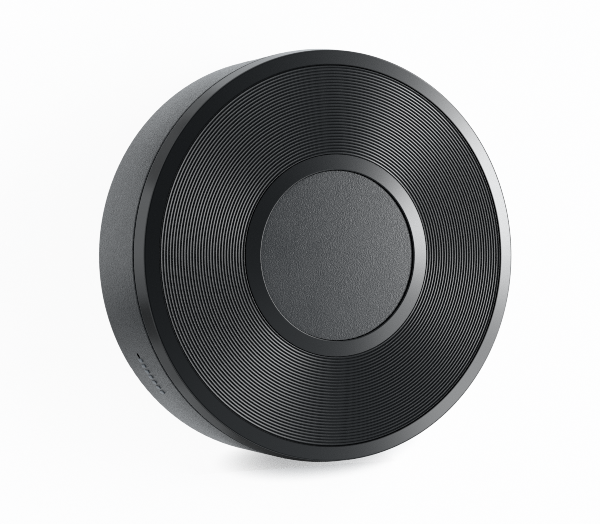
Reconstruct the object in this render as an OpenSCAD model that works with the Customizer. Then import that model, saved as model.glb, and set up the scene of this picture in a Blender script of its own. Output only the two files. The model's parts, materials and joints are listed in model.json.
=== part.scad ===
// Round network music streamer: a ribbed front cover screwed to a cup-shaped rear housing,
// with a round board, its sockets, a reset switch and an antenna inside.
// It lies on its feet. +Z points out of the ribbed face and +Y towards the sockets.

/* [Case] */
// Outside diameter of the case
case_d = 80; // [76:1:100]
// Height from the rear face to the front edge
case_h = 24.4; // [22:0.2:36]
// Thickness of the housing's side wall
wall_t = 2; // [1.6:0.1:2.4]
// Thickness of the housing's floor
floor_t = 2; // [1.6:0.1:3]
// Radius of the housing's rear edge
rear_edge_r = 1.5; // [0.6:0.1:1.8]
// Shadow gap between the housing and the front cover
parting_gap = 0.5; // [0.3:0.05:0.8]

/* [Front cover] */
// Height of the cover's side band
side_band_h = 4; // [3:0.1:5]
// How much the side band draws in towards the front edge
side_band_taper = 0.6; // [0.2:0.1:1.2]
// Radius that softens the edges of the cover and the housing
soft_edge_r = 0.3; // [0.1:0.05:0.4]
// Width of the smooth band outside the ribs
outer_band_w = 2.9; // [2:0.1:5]
// Slope of that band down to the front edge, in degrees
outer_band_slope = 10; // [2:1:15]
// Number of concentric ribs
rib_count = 30; // [12:1:36]
// Width of a rib's flat crest
crest_w = 0.06; // [0.02:0.01:0.12]
// Height of the ribs above the grooves between them
rib_h = 0.13; // [0.06:0.01:0.3]
// How far the ribs stay below the bands beside them
rib_drop = 0.1; // [0:0.05:0.3]
// Width of the smooth ring inside the ribs
inner_ring_w = 3; // [2:0.1:5]
// Slope of that ring down to the ribs, in degrees
inner_ring_slope = 8; // [2:1:12]
// Thickness of the cover below the grooves
cover_t = 2; // [1.4:0.1:3]
// How far the cover's tongue reaches into the housing
tongue_h = 3; // [2:0.1:4]
// Thickness of the tongue
tongue_t = 1.2; // [0.8:0.1:2]
// Gap between the tongue and the housing wall
tongue_gap = 0.15; // [0.1:0.05:0.3]

/* [Centre plate] */
// Diameter of the centre plate
plate_d = 32.5; // [24:0.1:40]
// Thickness of the centre plate
plate_t = 1; // [0.6:0.1:1.4]
// Gap around the centre plate
plate_gap = 0.1; // [0.05:0.05:0.4]
// How far the plate's edge lies below the ring around it
plate_sink = 0.5; // [0.1:0.05:0.6]
// How far the plate's middle stands above its edge
plate_crown = 0.4; // [0:0.05:0.6]
// Thickness of the adhesive film under the plate
adhesive_t = 0.2; // [0.1:0.05:0.4]
// How far the film stays inside the plate's edge
adhesive_inset = 1; // [0.5:0.1:3]

/* [Feet and screws] */
// Diameter of a rubber foot
foot_d = 10; // [8:0.5:12]
// How far the feet stand out of the rear face
foot_stand = 0.8; // [0.5:0.1:1.5]
// Depth of the recess that holds a foot
foot_recess = 1; // [0.6:0.1:1.2]
// Gap around a foot in its recess
foot_gap = 0.2; // [0.1:0.05:0.4]
// Distance of the screws and feet from the outside of the case
screw_inset = 10; // [9.5:0.5:14]
// Thread diameter of a case screw
screw_d = 2.6; // [2:0.1:3]
// Length of a case screw under its head
screw_len = 12; // [9:0.5:15]
// Diameter of a screw head
head_d = 4.6; // [4:0.1:5.4]
// Height of a screw head
head_h = 1.8; // [1.4:0.1:2.2]
// Gap around and below a screw head
head_gap = 0.3; // [0.2:0.05:0.5]
// Wall of a screw column around the head
column_wall = 1.4; // [1:0.1:2]
// Diameter of the cover's screw posts
post_d = 6.4; // [5:0.1:7]
// Gap around a screw in the holes that it passes through
screw_gap = 0.2; // [0.1:0.05:0.3]
// Gap around a screw in the hole of its post
thread_gap = 0.04; // [0.02:0.01:0.08]

/* [Main board] */
// Thickness of the main board
board_t = 1.6; // [1:0.1:2]
// Gap between the board and the housing
board_gap = 1; // [0.5:0.1:1.2]
// Height of the board above the housing's floor
board_standoff = 4.5; // [3.5:0.1:6]

/* [Sockets] */
// Depth of the flat socket panel in the rim
panel_depth = 1.7; // [1.2:0.1:2]
// Height of the socket panel
panel_h = 8.4; // [7.6:0.1:9]
// Height of the panel's middle above the board
panel_rise = 2.1; // [1.8:0.1:2.6]
// Thickness of the wall behind the socket panel
panel_wall_t = 1.9; // [1.5:0.1:2.4]
// How far the sockets stay behind the panel's face
socket_setback = 0.1; // [0:0.05:0.4]
// Gap around the sockets where they pass through the wall
socket_gap = 0.2; // [0.1:0.05:0.4]
// Sideways place of the power socket
usb_x = 8; // [7:0.5:9]
// Width of the power socket
usb_w = 7.5; // [7:0.1:8]
// Height of the power socket
usb_h = 2.65; // [2.4:0.05:3]
// Length of the power socket
usb_len = 5.6; // [5:0.1:7]
// Bevel on the power socket's lower corners
usb_bevel = 0.9; // [0.5:0.1:1.1]
// Sheet thickness of the power socket's shell
usb_sheet_t = 0.25; // [0.2:0.05:0.3]
// Sideways place of the line output jack
jack_x = -7.5; // [-8.5:0.5:-7]
// Width of the jack's body
jack_w = 6.2; // [6:0.1:7]
// Height of the jack's body
jack_h = 5; // [4.8:0.1:6]
// Length of the jack's body
jack_len = 12; // [11:0.1:14]
// Diameter of the jack's nose
jack_nose_d = 5.6; // [5:0.1:5.8]
// Diameter of the jack's bore
jack_bore_d = 3.6; // [3.55:0.05:3.8]
// Wall behind the jack's bore
jack_end_wall = 0.8; // [0.5:0.1:1.2]
// Sheet thickness of the contacts
contact_t = 0.25; // [0.15:0.05:0.3]

/* [Reset switch] */
// Direction of the reset hole around the rim, in degrees from +X
reset_angle = 207.6; // [195:0.1:212]
// Diameter of the reset hole in the rim
reset_hole_d = 1.2; // [0.8:0.1:1.8]
// Width of the switch along the rim
switch_w = 6; // [5:0.1:7]
// Length of the switch towards the rim
switch_len = 3.6; // [3.2:0.1:5]
// Height of the switch's base
switch_h = 3.6; // [3.5:0.1:4.2]
// Front wall of the switch's base
switch_wall = 0.6; // [0.4:0.1:1]
// Sheet thickness of the switch's frame
switch_sheet_t = 0.2; // [0.15:0.05:0.3]
// Height of the plunger's axis above the board
plunger_rise = 1.9; // [1.7:0.1:2]
// Diameter of the plunger's stem
plunger_d = 1.8; // [1.4:0.1:2]
// How far the plunger stands out of the switch
plunger_reach = 1.2; // [0.8:0.1:1.6]
// Gap between the plunger's end and the housing wall
plunger_end_gap = 0.8; // [0.5:0.1:1.5]
// Diameter of the plunger's flange
flange_d = 2.6; // [2.3:0.1:2.8]
// Thickness of the plunger's flange
flange_t = 0.5; // [0.3:0.1:0.8]
// Running gap around the plunger
plunger_gap = 0.1; // [0.05:0.01:0.12]
// Height of the snap dome behind the plunger
dome_rise = 0.4; // [0.35:0.05:0.6]
// Sheet thickness of the snap dome
dome_t = 0.08; // [0.05:0.01:0.12]

/* [Status light] */
// Diameter of the light pipe
pipe_d = 2; // [1.5:0.1:2.4]
// Height of the light pipe's axis above the board
pipe_rise = 1.9; // [1.8:0.1:2.4]
// Diameter of the light pipe's collar
pipe_collar_d = 3.2; // [2.8:0.1:3.6]
// Length of the light pipe's collar
pipe_collar_len = 0.8; // [0.5:0.1:1.2]
// Length of the light pipe behind its collar
pipe_tail_len = 3; // [2.5:0.1:4]
// Fit of the light pipe in the wall
pipe_fit = 0.04; // [0.02:0.01:0.08]
// Width, length and height of the light-emitting diode
led_size = [1.25, 2, 0.7]; // [0.5:0.05:2.5]

/* [Wireless module and antenna] */
// Place of the module's middle, as a share of the board's radius
module_share = [-0.216, -0.162]; // [-0.3:0.002:0.1]
// Width, length and thickness of the module's board
module_size = [24, 18, 1]; // [0.8:0.2:26]
// Place of the shield can's middle on the module
can_offset = [-3, 0]; // [-3.5:0.1:1]
// Width, length and height of the shield can
can_size = [16, 13, 2.2]; // [1.6:0.1:17]
// Sheet thickness of the shield can
can_sheet_t = 0.25; // [0.15:0.05:0.4]
// Distance of the antenna socket's middle from the module's edges
antenna_socket_inset = [2.8, 3]; // [1.6:0.1:4]
// Side of the antenna socket's base
antenna_socket_w = 3; // [2.6:0.1:3.2]
// Height of the antenna socket's base
antenna_socket_h = 0.6; // [0.4:0.1:0.8]
// Diameter of the antenna plug
antenna_plug_d = 2.8; // [2.4:0.1:3]
// Height of the antenna plug
antenna_plug_h = 1.3; // [1.2:0.1:1.6]
// Diameter of the antenna lead
lead_d = 1.1; // [0.8:0.1:1.2]
// First and last direction of the antenna strip around the wall, in degrees
antenna_span = [284, 324]; // [280:1:330]
// Thickness of the antenna strip
antenna_t = 0.25; // [0.15:0.05:0.4]
// Gap from the antenna strip to the board below it and to the cover's tongue above it
antenna_lift = 1; // [0.5:0.1:1.2]
// Bond line between the antenna strip and the wall
antenna_bond = 0.1; // [0.05:0.05:0.2]

/* [Hidden] */
// Segments of the turned shapes, large and small
round_fn = 96;
small_fn = 48;
// Small overlap that makes cuts run clean through
over = 0.5;

// Radii of the case
case_r = case_d / 2;
inner_r = case_r - wall_t;
front_edge_r = case_r - side_band_taper;
tongue_r = inner_r - tongue_gap;

// Heights above the table
rear_z = foot_stand;
floor_z = rear_z + floor_t;
board_z = floor_z + board_standoff;
board_top = board_z + board_t;
edge_z = rear_z + case_h;
cover_z = edge_z - side_band_h;
housing_top = cover_z - parting_gap;
tongue_z = housing_top - tongue_h;

// Front face, from the front edge to the centre plate
rib_field_r = front_edge_r - outer_band_w;
lip_z = edge_z + outer_band_w * tan(outer_band_slope);
rib_top = lip_z - rib_drop;
groove_z = rib_top - rib_h;
plate_r = plate_d / 2;
recess_r = plate_r + plate_gap;
rib_start_r = recess_r + inner_ring_w;
rib_pitch = (rib_field_r - rib_start_r) / rib_count;
ring_z = lip_z + inner_ring_w * tan(inner_ring_slope);
plate_top = ring_z - plate_sink;
plate_z = plate_top - plate_t;
recess_z = plate_z - adhesive_t;
under_z = groove_z - cover_t;
plate_edge_r = plate_sink / 4;
crown_start = plate_r - plate_edge_r;
crown_steps = 5;

// Screws and feet
screw_angles = [45, 135, 225, 315];
screw_circle_r = case_r - screw_inset;
foot_top = rear_z + foot_recess;
foot_edge_r = foot_stand / 2;
head_seat = foot_top + head_gap + head_h;
screw_tip = head_seat + screw_len;
screw_point_len = 1;
head_bore_d = head_d + 2 * head_gap;
column_d = head_bore_d + 2 * column_wall;
screw_hole_d = screw_d + 2 * screw_gap;
post_hole_d = screw_d + 2 * thread_gap;
foot_hole_d = foot_d + 2 * foot_gap;
driver_slot = [0.5, 2.4, 0.8];

// Socket panel and the pad inside it
panel_y = case_r - panel_depth;
panel_z = board_top + panel_rise;
pad_y = panel_y - panel_wall_t;
pad_gap = 0.3;
pad_top = tongue_z - pad_gap;
board_r = inner_r - board_gap;
board_flat_y = pad_y - board_gap;

// Power socket, with its mouth facing +Y
usb_mouth_y = panel_y - socket_setback;
usb_rear_y = usb_mouth_y - usb_len;
usb_z = board_top + usb_h / 2;
usb_block_len = 1.2;
usb_tongue = [3.9, 3.4, 0.6];
usb_tongue_rise = 0.35;
usb_contact_count = 5;
usb_contact_pitch = 0.65;
usb_contact_w = 0.3;
usb_contact_gap = 0.02;
usb_tail_len = 0.9;
usb_tab = [1, 1];
usb_tab_y = [0.7, 2.1];
usb_tail_y = usb_rear_y - over - usb_tail_len;

// Line output jack, with its bore along Y
jack_mouth_y = panel_y - socket_setback;
jack_front_y = pad_y - socket_gap;
jack_rear_y = jack_front_y - jack_len;
jack_bore_end_y = jack_rear_y + jack_end_wall;
jack_z = board_top + jack_h / 2;
jack_contact_w = 1.6;
jack_contact_rise = 3.2;
jack_contact_foot = 1.3;
jack_contact_y = [2.2, 5.6, 9.2];

// Reset switch, placed along the radius through the reset hole
plunger_tip_r = inner_r - plunger_end_gap;
switch_front_r = plunger_tip_r - plunger_reach;
switch_rear_r = switch_front_r - switch_len;
plunger_z = board_top + plunger_rise;
cavity_front_r = switch_front_r - switch_wall;
flange_front_r = cavity_front_r - plunger_gap / 2;
flange_rear_r = flange_front_r - flange_t;
dome_gap = 0.02;
cavity_rear_r = flange_rear_r - dome_gap - dome_rise;
cavity_d = flange_d + 2 * plunger_gap;
dome_d = flange_d - plunger_gap;
frame_side_h = 2.4;
switch_leg = [1, 1.2, 0.25];

// Status light
pipe_z = board_top + pipe_rise;
pipe_collar_y = pad_y - pipe_collar_len;
pipe_end_y = pipe_collar_y - pipe_tail_len;

// Wireless module and antenna
module_at = board_r * module_share;
module_top = board_top + module_size[2];
can_at = module_at + can_offset;
antenna_socket_at = module_at + [
    module_size[0] / 2 - antenna_socket_inset[0],
    antenna_socket_inset[1] - module_size[1] / 2
];
antenna_plug_z = module_top + antenna_socket_h;
antenna_pin_d = 1.6;
antenna_pin_h = 0.7;
antenna_pin_gap = 0.1;
ferrule_wall = 0.2;
ferrule_d = min(lead_d + 2 * ferrule_wall, antenna_plug_h);
ferrule_len = 1;
antenna_r = inner_r - antenna_bond;
antenna_z = board_top + antenna_lift;
antenna_h = tongue_z - antenna_lift - antenna_z;
lead_sides = 8;
lead_steps = 3;
// Route of the antenna lead from the plug's ferrule, past the board's edge, to the strip
lead_joint = 0.1;
lead_straight = 4.3;
lead_end_angle = antenna_span[0] + 0.4 * (antenna_span[1] - antenna_span[0]);
lead_end_z = antenna_z + 0.45 * antenna_h;
lead_end_r = antenna_r - antenna_t - lead_joint;
lead_start = [
    antenna_socket_at[0] + antenna_plug_d / 2 + ferrule_len + lead_joint,
    antenna_socket_at[1],
    antenna_plug_z + antenna_plug_h / 2
];
lead_bend = lead_start + [lead_straight, 0, 0];
lead_end = concat(polar(lead_end_r, lead_end_angle), lead_end_z);
lead_turn = concat(polar(lead_end_r - lead_straight, lead_end_angle), lead_end_z);
lead_route = [
    lead_start, (lead_start + lead_bend) / 2, lead_bend, (lead_bend + lead_turn) / 2, lead_turn, lead_end
];

// Board components: place, then size. Places away from the sockets are shares of the board's radius.
processor_offset = [-3, 0];
processor_at = can_at + processor_offset;
processor_size = [9, 9, 1];
memory_offset = [4.8, 0];
memory_at = can_at + memory_offset;
memory_size = [5, 8, 0.9];
flash_at = board_r * [0.38, -0.16];
flash_size = [5.2, 5.2, 1.7];
flash_pins = 4;
flash_pitch = 1.27;
converter_gap = 4;
converter_size = [6.5, 4.4, 1.1];
converter_pins = 10;
converter_pitch = 0.65;
regulator_offset = [-6.8, 0];
regulator_size = [2.9, 1.6, 1.1];
regulator_pins = 3;
regulator_pitch = 0.95;
chip_lift = 0.1;
lead_frame_t = 0.15;
chip_lead_len = 1;
chip_lead_share = 0.4;
converter_at = [jack_x, jack_rear_y - converter_gap - chip_lead_len - converter_size[1] / 2];
inductor_w = 6;
inductor_gap = 3.2;
inductor_at = [usb_x, usb_tail_y - inductor_gap - inductor_w / 2];
regulator_at = inductor_at + regulator_offset;
inductor_h = 3;
inductor_core_d = 4.6;
inductor_flange_t = 0.7;
crystal_at = board_r * [0.27, 0.11];
crystal_size = [3.2, 2.5, 0.8];
capacitor_base_h = 0.9;
capacitor_base_margin = 0.15;
capacitor_crown_r = 0.4;
// Electrolytic capacitors: place, then diameter and height of the can
capacitors_at = board_r * [[-0.46, 0.27], [0, 0.32], [0.38, 0.35], [0.65, 0.13]];
capacitors_size = [[5, 5.4], [5, 5.4], [6.3, 7.7], [6.3, 7.7]];
passive_size = [0.8, 1.6, 0.7];
passive_step = 2;
passive_row = 5;
// First places of the rows of small chip resistors and capacitors
passive_rows = board_r * [[-0.3, 0.16], [0.03, 0.49], [0.22, -0.38], [-0.84, 0]];

// Point at radius r in a direction around the case
function polar(r, a) = r * [cos(a), sin(a)];

// Points of an arc of radius r that rounds the corner b between the points a and c
function round_corner(a, b, c, r, steps = 5) =
    let (u = (a - b) / norm(a - b))
    let (v = (c - b) / norm(c - b))
    let (half = acos(u * v) / 2)
    let (centre = b + (u + v) / norm(u + v) * r / sin(half))
    let (first = b + u * r / tan(half) - centre)
    let (start = atan2(first[1], first[0]))
    let (turn = (cross(u, v) > 0 ? -1 : 1) * 2 * (90 - half))
    [for (k = [0:steps]) centre + r * [cos(start + turn * k / steps), sin(start + turn * k / steps)]];

// Crest of the rib at radius r and the groove inside it
function rib_points(r) =
    [[r + crest_w / 2, rib_top], [r - crest_w / 2, rib_top], [r - rib_pitch / 2, groove_z]];

// Outline of the power socket, drawn in by a margin
function usb_outline(margin) =
    let (w = usb_w / 2 - margin)
    let (h = usb_h / 2 - margin)
    let (b = usb_bevel - margin * tan(22.5))
    [[-w, h], [-w, b - h], [b - w, -h], [w - b, -h], [w, b - h], [w, h]];

// Catmull-Rom point between p[i] and p[i + 1], with the ends repeated
function between(p, i, t) =
    let (a = p[max(i - 1, 0)])
    let (b = p[i])
    let (c = p[i + 1])
    let (d = p[min(i + 2, len(p) - 1)])
    (2 * b + (c - a) * t + (2 * a - 5 * b + 4 * c - d) * t * t + (3 * b - a - 3 * c + d) * t * t * t) / 2;

// The route with a smooth curve through its points
function smooth(p, steps) =
    [for (i = [0:len(p) - 2], k = [0:steps - 1]) between(p, i, k / steps), p[len(p) - 1]];

// Direction of the route at its point i
function heading(p, i) =
    let (d = p[min(i + 1, len(p) - 1)] - p[max(i - 1, 0)])
    d / norm(d);

// Ring of points around the route's point i, square to its direction
function tube_ring(p, i, r, sides) =
    let (along = heading(p, i))
    let (side = cross(along, [0, 0, 1]))
    let (across = side / norm(side))
    let (up = cross(across, along))
    [for (k = [0:sides - 1]) p[i] + r * (cos(360 * k / sides) * across + sin(360 * k / sides) * up)];

// Round tube along a route
module tube(p, d, sides) {
    rings = [for (i = [0:len(p) - 1]) each tube_ring(p, i, d / 2, sides)];
    last = (len(p) - 1) * sides;
    walls = [
        for (i = [0:len(p) - 2], k = [0:sides - 1])
            let (a = i * sides + k)
            let (b = i * sides + (k + 1) % sides)
            each [[a, b, b + sides], [a, b + sides, a + sides]]
    ];
    start_cap = [for (k = [1:sides - 2]) [0, k + 1, k]];
    end_cap = [for (k = [1:sides - 2]) [last, last + k, last + k + 1]];
    polyhedron(rings, [for (f = concat(walls, start_cap, end_cap)) [f[0], f[2], f[1]]]);
}

// Places its children at each screw
module at_screws() {
    for (a = screw_angles) rotate(a) translate([screw_circle_r, 0, 0]) rotate(-a) children();
}

// Turns its children so that their Z points to the rim along the reset hole, at radius r
module along_reset(r) {
    rotate(reset_angle) translate([r, 0, plunger_z]) rotate([0, 90, 0]) children();
}

// Turns its children so that their Z points to the sockets, from a point on the board
module towards_sockets(at) {
    translate(at) rotate([-90, 0, 0]) children();
}

// Box that stands on z, centred on a place
module block(at, z, size) {
    translate([at[0] - size[0] / 2, at[1] - size[1] / 2, z]) cube(size);
}

// Chip body with a row of bent leads on two sides
module leaded_chip(at, size, pins, pitch) {
    reach = size[1] / 2 + chip_lead_len;
    lead_w = pitch * chip_lead_share;
    shoulder_z = board_top + chip_lift + size[2] / 2;
    block(at, board_top + chip_lift, size);
    for (side = [-1, 1], k = [0:pins - 1]) {
        x = at[0] + (k - (pins - 1) / 2) * pitch;
        foot_y = at[1] + side * (reach - chip_lead_len / 4);
        leg_y = at[1] + side * (size[1] / 2 + chip_lead_len / 2);
        block([x, foot_y], board_top, [lead_w, chip_lead_len / 2 + lead_frame_t, lead_frame_t]);
        block([x, leg_y], board_top, [lead_w, lead_frame_t, shoulder_z - board_top]);
        block([x, at[1] + side * size[1] / 2], shoulder_z - lead_frame_t,
            [lead_w, chip_lead_len + lead_frame_t, lead_frame_t]);
    }
}

// Outline of the closed housing, before its cavity is cut
module housing_outline() {
    rear_round = [case_r - rear_edge_r, rear_z + rear_edge_r];
    top_round = [case_r - soft_edge_r, housing_top - soft_edge_r];
    translate(rear_round) circle(rear_edge_r, $fn = round_fn);
    translate(top_round) circle(soft_edge_r, $fn = round_fn);
    polygon([
        [0, rear_z], [rear_round[0], rear_z], [case_r, rear_round[1]],
        [case_r, top_round[1]], [top_round[0], housing_top], [0, housing_top]
    ]);
}

// Room inside the housing: a round hollow, less the socket pad and the screw columns
module housing_cavity() {
    difference() {
        translate([0, 0, floor_z]) cylinder(r = inner_r, h = case_h, $fn = round_fn);
        translate([-case_r, pad_y, 0]) cube([case_d, case_r, pad_top]);
        at_screws() cylinder(d = column_d, h = board_z, $fn = round_fn);
    }
}

// Holes for one foot and its screw, from the rear face up to the board
module screw_way() {
    cylinder(d = foot_hole_d, h = foot_top, $fn = round_fn);
    cylinder(d = head_bore_d, h = head_seat, $fn = round_fn);
    cylinder(d = screw_hole_d, h = board_z + over, $fn = round_fn);
}

// Flat panel in the rim, with the openings of the sockets and the light pipe
module socket_panel_cuts() {
    reach = panel_wall_t + 2 * over;
    start_y = pad_y - over;
    translate([-case_r, panel_y, panel_z - panel_h / 2]) cube([case_d, case_r, panel_h]);
    towards_sockets([usb_x, start_y, usb_z])
        linear_extrude(reach) mirror([0, 1]) polygon(usb_outline(-socket_gap));
    towards_sockets([jack_x, start_y, jack_z])
        cylinder(d = jack_nose_d + 2 * socket_gap, h = reach, $fn = round_fn);
    towards_sockets([0, start_y, pipe_z])
        cylinder(d = pipe_d + 2 * pipe_fit, h = reach, $fn = round_fn);
}

module rear_housing() {
    color("#2d2d2f")
        difference() {
            rotate_extrude($fn = round_fn) housing_outline();
            housing_cavity();
            at_screws() screw_way();
            socket_panel_cuts();
            along_reset(inner_r - over) cylinder(d = reset_hole_d, h = wall_t + 2 * over, $fn = small_fn);
        }
}

// Half section of the front cover, from the tongue over the ribs to the plate's recess
module cover_outline() {
    tongue_top = [tongue_r, cover_z];
    low_corner = [case_r, cover_z];
    front_corner = [front_edge_r, edge_z];
    lip = [rib_field_r, lip_z];
    ring_foot = [rib_start_r, lip_z];
    ring_top = [recess_r, ring_z];
    ribs = [for (k = [rib_count - 1:-1:0]) each rib_points(rib_start_r + (k + 0.5) * rib_pitch)];
    polygon(concat(
        [[0, under_z], [tongue_r - tongue_t, under_z], [tongue_r - tongue_t, tongue_z]],
        [[tongue_r, tongue_z], tongue_top],
        round_corner(tongue_top, low_corner, front_corner, soft_edge_r),
        round_corner(low_corner, front_corner, lip, soft_edge_r),
        [lip, [rib_field_r, groove_z]],
        ribs,
        [ring_foot],
        round_corner(ring_foot, ring_top, [recess_r, recess_z], plate_edge_r, 3),
        [[recess_r, recess_z], [0, recess_z]]
    ));
}

module front_cover() {
    color("#161617")
        difference() {
            union() {
                rotate_extrude($fn = round_fn) cover_outline();
                at_screws()
                    translate([0, 0, board_top])
                        cylinder(d = post_d, h = under_z - board_top + over, $fn = round_fn);
            }
            at_screws()
                translate([0, 0, board_top - over])
                    cylinder(d = post_hole_d, h = screw_tip - board_top + 2 * over, $fn = round_fn);
        }
}

module centre_plate() {
    top_corner = [plate_r, plate_top];
    crown = [
        for (k = [1 : crown_steps])
            let (share = 1 - k / crown_steps)
                [crown_start * share, plate_top + plate_crown * (1 - share * share)]
    ];
    color("#3c3c3e")
        rotate_extrude($fn = round_fn)
            polygon(concat(
                [[0, plate_z], [plate_r, plate_z]],
                round_corner([plate_r, plate_z], top_corner, [0, plate_top], plate_edge_r, 3),
                crown
            ));
}

module plate_adhesive() {
    color("#e6e2d6")
        translate([0, 0, recess_z]) cylinder(r = plate_r - adhesive_inset, h = adhesive_t, $fn = round_fn);
}

module feet() {
    foot_r = foot_d / 2;
    low_corner = [foot_r, 0];
    color("#1e1e1f")
        at_screws()
            rotate_extrude($fn = round_fn)
                polygon(concat(
                    [[0, 0]],
                    round_corner([0, 0], low_corner, [foot_r, foot_top], foot_edge_r),
                    [[foot_r, foot_top], [0, foot_top]]
                ));
}

// Case screw, head down, with a cross recess in its head
module case_screw() {
    head_r = head_d / 2;
    shank_r = screw_d / 2;
    head_z = head_seat - head_h;
    crown = round_corner([0, head_z], [head_r, head_z], [head_r, head_seat], head_h / 2);
    shank = [
        [head_r, head_seat], [shank_r, head_seat],
        [shank_r, screw_tip - screw_point_len], [0, screw_tip]
    ];
    difference() {
        rotate_extrude($fn = round_fn) polygon(concat([[0, head_z]], crown, shank));
        for (turn = [0, 90])
            rotate(turn) block([0, 0], head_z - over, driver_slot + [0, 0, over]);
    }
}

module case_screws() {
    color("#9a9a9c") at_screws() case_screw();
}

module main_board() {
    color("#1f5a34")
        difference() {
            intersection() {
                translate([0, 0, board_z]) cylinder(r = board_r, h = board_t, $fn = round_fn);
                translate([-case_r, board_flat_y - case_d, board_z]) cube([case_d, case_d, board_t]);
            }
            at_screws()
                translate([0, 0, board_z - over])
                    cylinder(d = screw_hole_d, h = board_t + 2 * over, $fn = round_fn);
        }
}

// Sheet metal shell of the power socket, with four tabs on the board
module usb_socket_shell() {
    color("#c9c9cc") {
        towards_sockets([usb_x, usb_rear_y, usb_z])
            linear_extrude(usb_len)
                mirror([0, 1])
                    difference() {
                        polygon(usb_outline(0));
                        polygon(usb_outline(usb_sheet_t));
                    }
        for (side = [-1, 1], y = usb_tab_y) {
            wall_x = usb_x + side * (usb_w - usb_sheet_t) / 2;
            tab_x = usb_x + side * (usb_w + usb_tab[1]) / 2;
            tab_y = usb_rear_y + y;
            block([wall_x, tab_y], board_top, [usb_sheet_t, usb_tab[0], usb_h / 2]);
            block([tab_x, tab_y], board_top, [usb_tab[1] + usb_sheet_t, usb_tab[0], usb_sheet_t]);
        }
    }
}

// One spring contact of the power socket, with its tail on the board; a margin makes its slot
module usb_contact(k, margin) {
    x = usb_x + (k - (usb_contact_count - 1) / 2) * usb_contact_pitch;
    strip_z = usb_z + usb_tongue_rise - contact_t;
    w = usb_contact_w + 2 * margin;
    strip_len = usb_block_len + usb_tongue[1] - usb_contact_w;
    block([x, usb_rear_y + strip_len / 2 - over / 2], strip_z - margin,
        [w, strip_len + over, contact_t + margin]);
    block([x, usb_rear_y - over - contact_t / 2], board_top,
        [w, contact_t, strip_z + contact_t - board_top]);
    block([x, usb_rear_y - over - usb_tail_len / 2], board_top, [w, usb_tail_len, contact_t]);
}

module usb_socket_tongue() {
    block_margin = usb_sheet_t + usb_contact_gap;
    color("#242426")
        difference() {
            union() {
                towards_sockets([usb_x, usb_rear_y, usb_z])
                    linear_extrude(usb_block_len) mirror([0, 1]) polygon(usb_outline(block_margin));
                block([usb_x, usb_rear_y + usb_block_len + usb_tongue[1] / 2 - over / 2],
                    usb_z + usb_tongue_rise, usb_tongue + [0, over, 0]);
            }
            for (k = [0:usb_contact_count - 1]) usb_contact(k, usb_contact_gap);
        }
}

module usb_socket_contacts() {
    color("#c8a24a")
        for (k = [0:usb_contact_count - 1]) usb_contact(k, 0);
}

module audio_jack_body() {
    color("#1a1a1c")
        difference() {
            union() {
                translate([jack_x - jack_w / 2, jack_rear_y, board_top]) cube([jack_w, jack_len, jack_h]);
                towards_sockets([jack_x, jack_front_y - over, jack_z])
                    cylinder(d = jack_nose_d, h = jack_mouth_y - jack_front_y + over, $fn = round_fn);
            }
            towards_sockets([jack_x, jack_bore_end_y, jack_z])
                cylinder(d = jack_bore_d, h = jack_mouth_y - jack_bore_end_y + over, $fn = round_fn);
        }
}

// Bent contacts along both sides of the jack, with feet on the board
module audio_jack_contacts() {
    color("#c9c9cc")
        for (side = [-1, 1], y = jack_contact_y) {
            wall_x = jack_x + side * (jack_w + contact_t) / 2;
            foot_x = jack_x + side * (jack_w + jack_contact_foot) / 2;
            contact_y = jack_rear_y + y;
            block([wall_x, contact_y], board_top, [contact_t, jack_contact_w, jack_contact_rise]);
            block([foot_x, contact_y], board_top, [jack_contact_foot, jack_contact_w, contact_t]);
        }
}

// Places its children on the board, with X along the reset hole's radius
module on_switch() {
    rotate(reset_angle) translate([0, 0, board_top]) children();
}

module reset_switch_base() {
    middle_r = (switch_front_r + switch_rear_r) / 2;
    color("#1d1d1f")
        difference() {
            on_switch() block([middle_r, 0], 0, [switch_len, switch_w, switch_h]);
            along_reset(cavity_rear_r)
                cylinder(d = cavity_d, h = cavity_front_r - cavity_rear_r, $fn = small_fn);
            along_reset(cavity_front_r - over)
                cylinder(d = plunger_d + 2 * plunger_gap, h = switch_wall + 2 * over, $fn = small_fn);
        }
}

// Sheet metal frame over the switch's top and sides, with a soldered leg on each side
module reset_switch_frame() {
    middle_r = (switch_front_r + switch_rear_r) / 2;
    side_y = (switch_w + switch_sheet_t) / 2;
    leg_y = (switch_w + switch_leg[1]) / 2;
    color("#c2c2c4")
        on_switch() {
            block([middle_r, 0], switch_h, [switch_len, switch_w + 2 * switch_sheet_t, switch_sheet_t]);
            for (side = [-1, 1]) {
                block([middle_r, side * side_y], switch_h - frame_side_h,
                    [switch_len / 2, switch_sheet_t, frame_side_h]);
                block([middle_r, side * side_y], 0, [switch_leg[0], switch_sheet_t, switch_h]);
                block([middle_r, side * leg_y], 0, switch_leg);
            }
        }
}

// Snap dome between the back of the cavity and the plunger's flange
module reset_switch_dome() {
    dome_r = dome_d / 2;
    angles = [0:15:90];
    color("#d0c9b0")
        along_reset(cavity_rear_r)
            rotate_extrude($fn = small_fn)
                polygon(concat(
                    [for (a = angles) [dome_r * cos(a), dome_rise * sin(a)]],
                    [for (a = angles) [(dome_r - dome_t) * sin(a), (dome_rise - dome_t) * cos(a)]]
                ));
}

module reset_switch_plunger() {
    color("#e8e6df")
        along_reset(flange_rear_r) {
            cylinder(d = flange_d, h = flange_t, $fn = small_fn);
            cylinder(d = plunger_d, h = plunger_tip_r - flange_rear_r, $fn = small_fn);
        }
}

module status_led() {
    color("#f2efe0")
        block([0, pipe_end_y + pipe_d / 2], board_top, led_size);
}

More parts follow.
